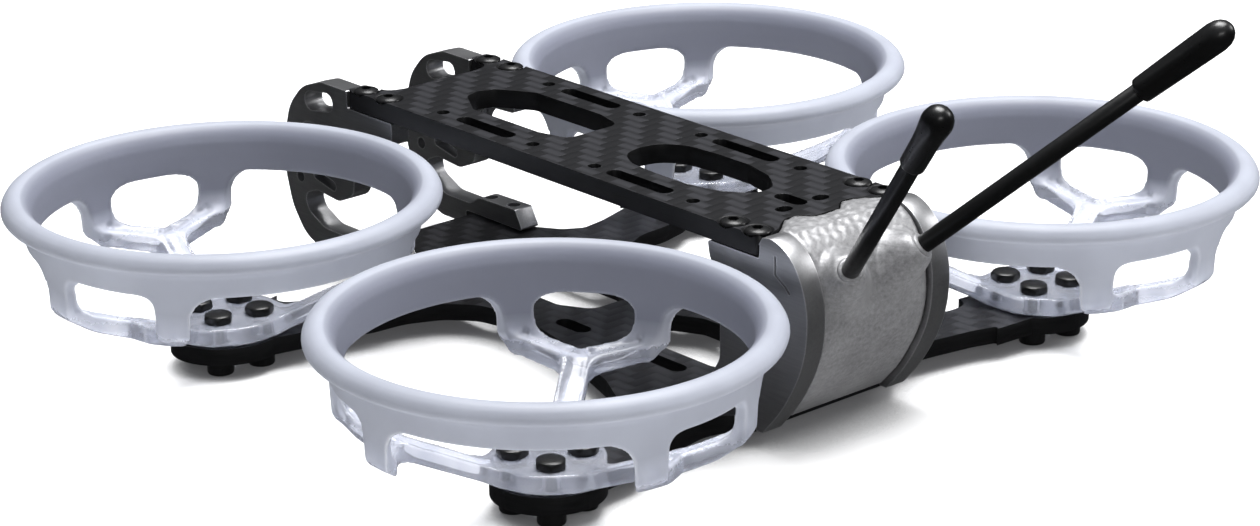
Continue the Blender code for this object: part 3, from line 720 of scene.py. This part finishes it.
bottom = add("lower_plate", plate("lower_plate", bottom_outline, bottom_holes, 0, PLATE_T), CARBON, "frame",
             "bottom_plate")
shade(baked(bevelled(bottom, 0.16, 2)), 35)

top_half = [(2.2, 38.1), (3.2, 37.0), (4.4, 36.3), (6.2, 36.3), (8.0, 37.5), (9.4, 38.6), (13.3, 38.8),
            (13.3, -48.7), (10.0, -48.7), (9.9, -46.0), (9.2, -43.9), (6.8, -43.2)]
top_half = rounded(top_half + [(-6.8, -43.2), (-2.2, 38.1)], [0.6, 1.5, 1.8, 1.8, 2.5, 1.5, 0.6, 0.6, 0.6, 2.5, 2.0, 1.5, 0, 0], 5)
top_half = [p for p in top_half if p[0] > 0]
top_outline = list(reversed(top_half)) + mirrored(list(reversed(top_half)))
top_holes = []
for sx in (-1, 1):
    for py in (-30.3, -10.3, 2.8, 22.8):
        top_holes.append(ring_points(0.95, 20, centre=(sx * 10.0, py)))
    for py, length in ((-20.8, 12.0), (12.0, 12.6)):
        top_holes.append(slot_loop(sx * 9.9, py, length, 2.4, 90))
    for py in (32.4, 37.0, -46.3, -41.0):
        top_holes.append(ring_points(1.1, 20, centre=(sx * SCREW_X, py)))
    top_holes.append(slot_loop(sx * 3.4, 33.4, 2.6, 1.9, 0))
top_holes.append(slot_loop(0, 31.2, 5.4, 2.4, 90))
top_holes.append(rounded([(0, -34.8), (2.6, -34.0), (5.9, -28.5), (5.9, -14.0), (4.6, -8.9), (-4.6, -8.9),
                          (-5.9, -14.0), (-5.9, -28.5), (-2.6, -34.0)], 1.9, 7))
top_holes.append(rounded([(0, 1.0), (3.4, 1.7), (5.4, 5.2), (5.9, 10.5), (5.9, 17.0), (4.6, 22.3), (2.0, 25.8), (0, 26.4),
                          (-2.0, 25.8), (-4.6, 22.3), (-5.9, 17.0), (-5.9, 10.5), (-5.4, 5.2), (-3.4, 1.7)], 4.0, 5))
upper = add("upper_plate", plate("upper_plate", top_outline, top_holes, TOP_Z0, TOP_Z1), CARBON, "frame",
            "top_plate")
boolean(upper, [loft([(TOP_Z1 - 0.95, ring_points(1.3, 28, centre=(sx * SCREW_X, py))),
                      (TOP_Z1 + 0.15, ring_points(2.4, 28, centre=(sx * SCREW_X, py)))])
                for sx in (-1, 1) for py in (32.4, 37.0, -46.3, -41.0)])
shade(baked(bevelled(upper, 0.14, 2)), 35)

# ------------------------------------------------------------ side plates
def smooth_path(points, count):
    """Catmull-Rom points along an open path, evenly spaced."""
    p = [Vector((*q, 0)) for q in points]
    p = [p[0] * 2 - p[1]] + p + [p[-1] * 2 - p[-2]]
    raw = []
    for i in range(1, len(p) - 2):
        for k in range(12):
            t = k / 12
            a, b, c, d = p[i - 1], p[i], p[i + 1], p[i + 2]
            raw.append(0.5 * ((2 * b) + (c - a) * t + (2 * a - 5 * b + 4 * c - d) * t * t + (3 * b - a - 3 * c + d) * t ** 3))
    raw.append(p[-2])
    length = [0.0]
    for a, b in zip(raw, raw[1:]):
        length.append(length[-1] + (b - a).length)
    out = []
    for k in range(count):
        s = length[-1] * k / (count - 1)
        i = max(0, min(len(raw) - 2, int(np.searchsorted(length, s)) - 1))
        t = (s - length[i]) / max(1e-9, length[i + 1] - length[i])
        q = raw[i].lerp(raw[i + 1], t)
        out.append((q.x, q.y))
    return out


front_profile = rounded(
    [(-38.4, 3.2), (-49.0, 3.2), (-49.0, 5.8), (-55.2, 5.8), (-60.0, 4.2), (-63.4, 0.5), (-65.0, -5.0),
     (-65.1, -10.0), (-63.6, -15.4), (-60.6, -19.4), (-56.6, -20.9), (-50.6, -20.9), (-50.6, -18.7),
     (-37.1, -18.7), (-38.8, -15.7), (-47.4, -15.9), (-49.4, -17.3), (-55.6, -17.3), (-59.6, -15.4),
     (-60.4, -12.9), (-57.2, -11.6), (-51.8, -12.1), (-48.0, -10.4), (-47.8, -3.2), (-45.4, -0.6), (-38.5, -0.3)],
    [0.3, 0.3, 0.2, 4.0, 7.0, 8.0, 10.0, 10.0, 8.0, 6.0, 4.0, 0.3, 0.4,
     0.3, 0.4, 2.5, 2.5, 4.0, 2.2, 2.0, 2.4, 3.0, 2.6, 2.4, 3.0, 0.6], 8)
front_holes = [ring_points(3.3, 40, centre=(-58.2, -4.4)),
               slot_loop(-56.0, 2.6, 7.0, 2.9, 9),
               ring_points(0.9, 20, centre=(-61.3, -10.4)),
               slot_loop(-55.2, -9.6, 5.6, 1.5, -12)]
rear_rim = smooth_path([(39.55, 6.12), (41.2, 6.35), (43.2, 5.75), (45.2, 4.2), (46.7, 1.9), (47.75, -1.1), (48.0, -4.4), (47.5, -8.4),
                        (45.95, -12.6), (43.2, -17.2), (40.0, -21.05)], 64)
rear_profile = (rounded([(29.6, -18.7), (30.0, -15.6), (31.6, -13.0), (31.6, -2.2), (29.6, 1.0), (29.2, 3.2), (39.0, 3.2),
                         (39.15, 5.6)], [0.4, 2, 3, 3, 3, 0.4, 0.3, 0.1], 8) +
                rear_rim + [(39.8, -21.2), (38.6, -21.2), (38.6, -18.7)])


def lift(loop):
    return [(y, z + Z0) for y, z in loop]


GROOVE = [(42.05, 4.1), (42.08, 1.71), (43.95, 0.57), (44.7, -0.19)]


def weighted_bevel(obj, sx):
    """A wide chamfer round the outer curved rim, a small one elsewhere."""
    mesh = obj.data
    bm = bmesh.new()
    bm.from_mesh(mesh)
    layer = bm.edges.layers.float.get("bevel_weight_edge") or bm.edges.layers.float.new("bevel_weight_edge")
    for e in bm.edges:
        if len(e.link_faces) != 2 or e.calc_face_angle(0.0) < math.radians(38):
            e[layer] = 0.0
            continue
        outer = all(abs(v.co.x * 1000 - sx * HALF_W) < 0.01 for v in e.verts)
        mid = (e.verts[0].co + e.verts[1].co) / 2 * 1000
        e[layer] = 1.0 if outer and (mid.y > 39.6 and not (mid.y < 41.2 and mid.z > Z0)) else 0.22
    bm.to_mesh(mesh)
    bm.free()
    mod = obj.modifiers.new("edges", "BEVEL")
    mod.width = 0.85 * MM
    mod.segments = 3
    mod.limit_method = "WEIGHT"
    mod.use_clamp_overlap = True
    shade(baked(obj), 35)


for side, sx in (("left", 1), ("right", -1)):
    low, high = sorted((sx * IN_W, sx * HALF_W))
    front = add("nose_plate_" + side, plate("nose_plate", lift(front_profile), [lift(h) for h in front_holes], low, high, "x"),
                ALLOY, "frame", "front_side_plate_" + side)
    drills = [loft([(z0, ring_points(1.05, 20, centre=(sx * SCREW_X, y))), (z1, ring_points(1.05, 20, centre=(sx * SCREW_X, y)))])
              for y in (-46.3, -41.0) for z0, z1 in ((2.0, 7.5), (18.0, 25.6))]
    boolean(front, drills)
    shade(baked(bevelled(front, 0.28, 3)), 35)
    rear = add("tail_plate_" + side, plate("tail_plate", lift(rear_profile), [], low, high, "x"),
               ALLOY_R, "frame", "rear_side_plate_" + side)
    boolean(rear, [loft([(z0, ring_points(1.05, 20, centre=(sx * SCREW_X, y))), (z1, ring_points(1.05, 20, centre=(sx * SCREW_X, y)))])
                   for y in (32.4, 37.0) for z0, z1 in ((2.0, 7.5), (21.0, 25.6))])
    groove = [(y, z + Z0) for y, z in GROOVE]
    cuts = []
    for (ya, za), (yb, zb) in zip(groove, groove[1:]):
        ln = math.hypot(yb - ya, zb - za)
        ny, nz = -(zb - za) / ln * 0.2, (yb - ya) / ln * 0.2
        ey, ez = (yb - ya) / ln * 0.12, (zb - za) / ln * 0.12
        quad = [(ya - ey + ny, za - ez + nz), (ya - ey - ny, za - ez - nz), (yb + ey - ny, zb + ez - nz), (yb + ey + ny, zb + ez + nz)]
        xs2 = sorted((sx * (HALF_W - 0.28), sx * (HALF_W + 0.3)))
        cuts.append(([(xs2[0], a, b) for a, b in quad] + [(xs2[1], a, b) for a, b in quad],
                     [[3, 2, 1, 0], [4, 5, 6, 7]] + [[i, (i + 1) % 4, 4 + (i + 1) % 4, 4 + i] for i in range(4)]))
    for one in cuts:
        boolean(rear, [one])
    weighted_bevel(rear, sx)

# -------------------------------------------------------------- tail cover
ANTENNA = {"left": (Vector((6.8, 49.4, 24.3)), Vector((26.4, 83.3, 57.9))),
           "right": (Vector((-6.8, 49.4, 24.5)), Vector((-26.4, 83.3, 57.9)))}


def cover_mesh():
    """The curved skin: a fine grid on the outside carrying the printed tracks, closed by an inner skin."""
    path = smooth_path([(38.95, 6.15), (40.0, 6.4), (42.0, 6.1), (44.5, 4.5), (46.5, 1.1), (47.35, -4.0), (46.85, -8.4),
                        (45.25, -12.4), (42.6, -16.8), (39.6, -20.3)], 150)
    nx = 130
    n = len(path)
    width = IN_W - 0.22
    outer, inner = [], []
    for k, (y, z) in enumerate(path):
        a, b = path[max(k - 1, 0)], path[min(k + 1, n - 1)]
        ty, tz = b[0] - a[0], b[1] - a[1]
        ln = math.hypot(ty, tz)
        ny, nz = -tz / ln, ty / ln
        s = k / (n - 1)
        top = max(0.0, min(1.0, (0.40 - s) / 0.16))
        for i in range(nx):
            x = -width + 2 * width * i / (nx - 1)
            wave = math.sin((y + z) * 6.2 + 1.1 * math.sin(x * 0.9 + 1.0) + 0.5 * math.sin(x * 2.1 + y)) * 0.05
            wave += math.sin(x * 3.3 + 1.3 * math.sin(y * 1.9) + z) * math.sin((z - y) * 1.6 + x * 0.7) * 0.055
            low = math.sin(z * 7.5) * 0.012
            rise = wave * top + low * (1 - top)
            edge = min(1.0, (width - abs(x)) / 0.7)
            rise = rise * edge - 0.22 * (1 - edge) ** 2
            ax = abs(x)
            front = 38.35 if ax < 2.2 else 36.6 if 4.2 < ax < 6.4 else None
            if front is None:
                front = 38.35 - 1.75 * (ax - 2.2) / 2.0 if ax < 4.2 else 36.6 + 2.4 * min(1.0, (ax - 6.4) / 3.0)
            pull = (front - 38.95) * max(0.0, 1.0 - s / 0.07) ** 1.3
            p = Vector((x, y + ny * rise + pull, z + nz * rise + Z0))
            for base, tip in ANTENNA.values():
                axis = (tip - base).normalized()
                t = (p - base).dot(axis)
                d = (p - base - axis * t).length
                w = max(0.0, min(1.0, (4.6 - d) / 2.8))
                w = w * w * (3 - 2 * w)
                if w > 0 and t < -0.4:
                    p = p + axis * ((-0.4 - t) * w)
            outer.append(tuple(p))
            inner.append((x, y - ny * 1.7 + pull, z - nz * 1.7 + Z0))
    verts = outer + inner
    faces = []
    off = len(outer)
    for k in range(n - 1):
        for i in range(nx - 1):
            a, b, c, d = k * nx + i, k * nx + i + 1, (k + 1) * nx + i + 1, (k + 1) * nx + i
            faces.append([a, b, c, d])
            faces.append([off + d, off + c, off + b, off + a])
    for k in range(n - 1):
        for i, flip in ((0, 0), (nx - 1, 1)):
            a, b = k * nx + i, (k + 1) * nx + i
            faces.append([a, b, off + b, off + a] if not flip else [b, a, off + a, off + b])
    for i in range(nx - 1):
        for k, flip in ((0, 1), (n - 1, 0)):
            a, b = k * nx + i, k * nx + i + 1
            faces.append([a, b, off + b, off + a] if not flip else [b, a, off + a, off + b])
    return mesh_of("rear_cover", verts, faces)


cover = add("rear_cover", cover_mesh(), TAIL, "frame", "tail_cover", smooth=True)
tab = loft([(1.4 + Z0, [(-9.7, 33.2), (9.7, 33.2), (9.7, 40.4), (-9.7, 40.4)]),
            (3.1 + Z0, [(-9.7, 33.2), (9.7, 33.2), (9.7, 39.4), (-9.7, 39.4)])])
add("cover_tab", mesh_of("cover_tab", *tab), TAIL, "frame", None)
for side, (base, tip) in ANTENNA.items():
    collar = turned(base, tip, [(-1.4, 1.3), (-1.4, 1.85), (-0.5, 1.82), (-0.22, 1.74), (-0.08, 1.6), (-0.04, 1.36)], 48)
    add("antenna_collar_" + side, mesh_of("collar", *collar), TAIL, "frame", None, smooth=True)

# ----------------------------------------------------------------- antennas
TUBE_R, CAP_START, CAP_LEN = 1.25, 36.2, 14.8
for side, (base, tip) in ANTENNA.items():
    end = CAP_START + 9.0
    tube = turned(base, tip, [(-6.9, 0), (-6.9, 0.75), (-6.8, 1.15), (-6.5, TUBE_R), (end - 0.3, TUBE_R), (end, 0.9), (end, 0)], 48)
    obj = add("antenna_rod_" + side, mesh_of("rod", *tube), TUBE, "antenna_" + side, "antenna_tube_" + side)
    shade(obj, 50)
    start = base + (tip - base).normalized() * CAP_START
    prof = [(9.3, 0), (9.3, 1.31), (0.3, 1.31), (0.0, 1.42), (0.0, 1.60), (0.12, 1.72), (0.5, 1.78), (1.6, 1.80), (4.0, 1.86), (7.0, 1.93),
            (10.0, 2.0), (12.2, 2.03), (13.2, 1.88), (13.9, 1.55), (14.4, 1.1), (14.7, 0.55), (CAP_LEN, 0)]
    verts, faces = turned(start, tip, prof, 64)
    axis = (tip - start).normalized()
    flat_dirs = [axis.orthogonal().normalized()]
    flat_dirs.append(axis.cross(flat_dirs[0]))
    new = []
    for v in verts:
        p = Vector(v) - start
        t = p.dot(axis)
        radial = p - axis * t
        if radial.length > 1.5 and t < 12.0:
            fade = max(0.0, min(1.0, (12.0 - t) / 5.0))
            for d in (flat_dirs[0], -flat_dirs[0], flat_dirs[1], -flat_dirs[1]):
                over = radial.dot(d) - 1.62
                if over > 0:
                    radial -= d * over * fade * 0.75
        new.append(tuple(start + axis * t + radial))
    obj = add("antenna_tip_" + side, mesh_of("tip", new, faces), CAP, "cap_" + side, "antenna_cap_" + side)
    shade(obj, 50)


# ---------------------------------------------------------------- fasteners
def hexagon_tube(cx, cy, z0, z1, radius, spin, dome):
    """A hex nut with chamfered corners and a slightly domed closed top."""
    count = 36
    levels = []
    hexa = []
    for i in range(count):
        a = math.radians(360 * i / count)
        local = (a - math.radians(spin)) % (math.pi / 3)
        hexa.append(min(radius * math.cos(math.pi / 6) / math.cos(local - math.pi / 6), radius * 0.985))

    def loop(k, cap=None):
        return [(cx + min(h * k, cap or 9) * math.cos(2 * math.pi * i / count), cy + min(h * k, cap or 9) * math.sin(2 * math.pi * i / count))
                for i, h in enumerate(hexa)]

    flat = radius * math.cos(math.pi / 6)
    levels = [(z0, loop(1, flat * 0.98)), (z0 + 0.22, loop(1)), (z1 - 0.34, loop(1)), (z1 - 0.12, loop(1, flat * 1.02)), (z1, loop(0.9, flat * 0.9)),
              (z1 + dome * 0.6, loop(0.62, flat * 0.6)), (z1 + dome, loop(0.3, flat * 0.3))]
    return loft(levels)


def cap_screw(cx, cy, seat, head_h, head_r, length, direction):
    base, tip = Vector((cx, cy, seat)), Vector((cx, cy, seat + direction))
    prof = [(length, 0), (length, 0.8), (length - 0.2, 0.95), (0, 0.95), (0, head_r - 0.1), (-0.1, head_r), (-head_h + 0.3, head_r),
            (-head_h + 0.1, head_r - 0.1), (-head_h, head_r - 0.32), (-head_h, 1.12), (-head_h + 0.12, 1.0)]
    hexed = turned(base, tip, prof, 36)
    return hexed, prof


def socket_screw(name, node, cx, cy, seat, head_h, head_r, length, direction, dome=False):
    base, tip = Vector((cx, cy, seat)), Vector((cx, cy, seat + direction))
    if dome:
        prof = [(length, 0), (length, 0.8), (length - 0.2, 0.95), (0.85, 0.95), (0.05, head_r - 0.03), (-0.02, head_r), (-0.16, head_r - 0.06),
                (-0.34, head_r - 0.35), (-0.47, head_r - 0.75), (-0.5, 0.95), (-0.5, 0)]
    else:
        prof = [(length, 0), (length, 0.8), (length - 0.2, 0.95), (0, 0.95), (0, head_r - 0.12), (-0.12, head_r), (-head_h + 0.35, head_r),
                (-head_h + 0.1, head_r - 0.1), (-head_h, head_r - 0.35), (-head_h, 0)]
    obj = add(name, mesh_of(name, *turned(base, tip, prof, 32)), STEEL, "frame", node)
    top_z = seat - direction * (0.5 if dome else head_h)
    za, zb = sorted((top_z + direction * 0.9, top_z - direction * 0.4))
    boolean(obj, [loft([(za, ring_points(0.78, 6, 15, centre=(cx, cy))), (zb, ring_points(0.78, 6, 15, centre=(cx, cy)))])])
    shade(obj, 38)
    return obj


for corner, (hx, hy) in HUBS.items():
    number = 1
    for sx in (-1, 1):
        for sy in (-1, 1):
            ox, oy = bolt_offset(corner, sx, sy)
            cx, cy = hx + ox, hy + oy
            name = "guard_bolt_%s_%d" % (corner, number)
            socket_screw(name, "duct_screw_%s_%d" % (corner, number), cx, cy, -0.1, 2.2, 1.9, 6.0, 1)
            nut = add("guard_nut_%s_%d" % (corner, number),
                      mesh_of("nut", *hexagon_tube(cx, cy, 5.32, 6.55, 2.15, 20 + 37 * number, 0.14)), STEEL, "frame",
                      "duct_nut_%s_%d" % (corner, number))
            shade(nut, 40)
            number += 1
for side, sx in (("left", 1), ("right", -1)):
    for k, py in enumerate((-46.3, -41.0, 32.4, 37.0)):
        socket_screw("plate_bolt_%s_%d" % (side, k + 1), "top_screw_%s_%d" % (side, k + 1), sx * SCREW_X, py, TOP_Z1 - 0.1, 0.5,
                     1.85, 5.8, -1, dome=True)
    for k, py in enumerate((-41.0, 32.4)):
        socket_screw("lower_bolt_%s_%d" % (side, k + 1), "bottom_screw_%s_%d" % (side, k + 1), sx * SCREW_X, py, -0.1, 1.4,
                     1.9, 5.0, 1)

# --------------------------------------------------------------- the studio
floor_mesh = bpy.data.meshes.new("floor")
S = 4.0
floor_mesh.from_pydata([(-S, -S, 0), (S, -S, 0), (S, S, 0), (-S, S, 0)], [], [(0, 1, 2, 3)])
floor = bpy.data.objects.new("floor", floor_mesh)
floor.location = (0, 0, -0.00245)
scene.collection.objects.link(floor)
fm = Nodes("floor_white")
# the floor's white glow dims to near black where ambient occlusion finds the frame close above: a painted shadow
shade_node = fm.new("ShaderNodeAmbientOcclusion")
shade_node.samples = 8
shade_node.inputs["Distance"].default_value = 0.030
open_sky = fm.math("DIVIDE", fm.math("SUBTRACT", shade_node.outputs["AO"], 0.30), 0.30, clamp=True)
fm.set("Base Color", (0.45, 0.45, 0.455))
fm.set("Roughness", 0.9)
fm.shader.inputs["Specular IOR Level"].default_value = 0.05
fm.set("Emission Color", fm.mix(open_sky, (0.06, 0.06, 0.062), (1.0, 1.0, 1.0)))
fm.shader.inputs["Emission Strength"].default_value = 0.86
floor_mesh.materials.append(fm.mat)
floor.visible_glossy = False

world = bpy.data.worlds.new("studio")
scene.world = world
world.use_nodes = True
wt = world.node_tree
sky = wt.nodes["Background"]
sky.inputs[0].default_value = (0.92, 0.95, 1.0, 1)
direction = wt.nodes.new("ShaderNodeTexCoord")
parts = wt.nodes.new("ShaderNodeSeparateXYZ")
wt.links.new(direction.outputs["Generated"], parts.inputs[0])
rise = wt.nodes.new("ShaderNodeMapRange")
rise.inputs["From Min"].default_value = 0.15
rise.inputs["From Max"].default_value = 0.95
rise.inputs["To Min"].default_value = 0.03
rise.inputs["To Max"].default_value = 0.36
wt.links.new(parts.outputs[2], rise.inputs[0])
wt.links.new(rise.outputs[0], sky.inputs[1])
white = wt.nodes.new("ShaderNodeBackground")
white.inputs[0].default_value = (1, 1, 1, 1)
white.inputs[1].default_value = 1.0
path = wt.nodes.new("ShaderNodeLightPath")
blend = wt.nodes.new("ShaderNodeMixShader")
wt.links.new(path.outputs["Is Camera Ray"], blend.inputs[0])
wt.links.new(sky.outputs[0], blend.inputs[1])
wt.links.new(white.outputs[0], blend.inputs[2])
wt.links.new(blend.outputs[0], wt.nodes["World Output"].inputs[0])


def area(name, place, target, size, power, tint=(1, 1, 1)):
    data = bpy.data.lights.new(name, "AREA")
    data.shape = "RECTANGLE"
    data.size, data.size_y = size
    data.energy = power
    data.color = tint
    obj = bpy.data.objects.new(name, data)
    obj.location = place
    obj.rotation_euler = (Vector(target) - Vector(place)).to_track_quat("-Z", "Y").to_euler()
    scene.collection.objects.link(obj)
    return obj


area("key", (-0.12, -0.02, 0.60), (0, 0, 0), (0.42, 0.34), 7.2)
area("side", (0.30, 0.55, 0.30), (0, 0, 0.02), (0.30, 0.10), 0.55)
area("edge", (-0.55, 0.30, 0.34), (0, 0.02, 0.02), (0.20, 0.24), 1.0)
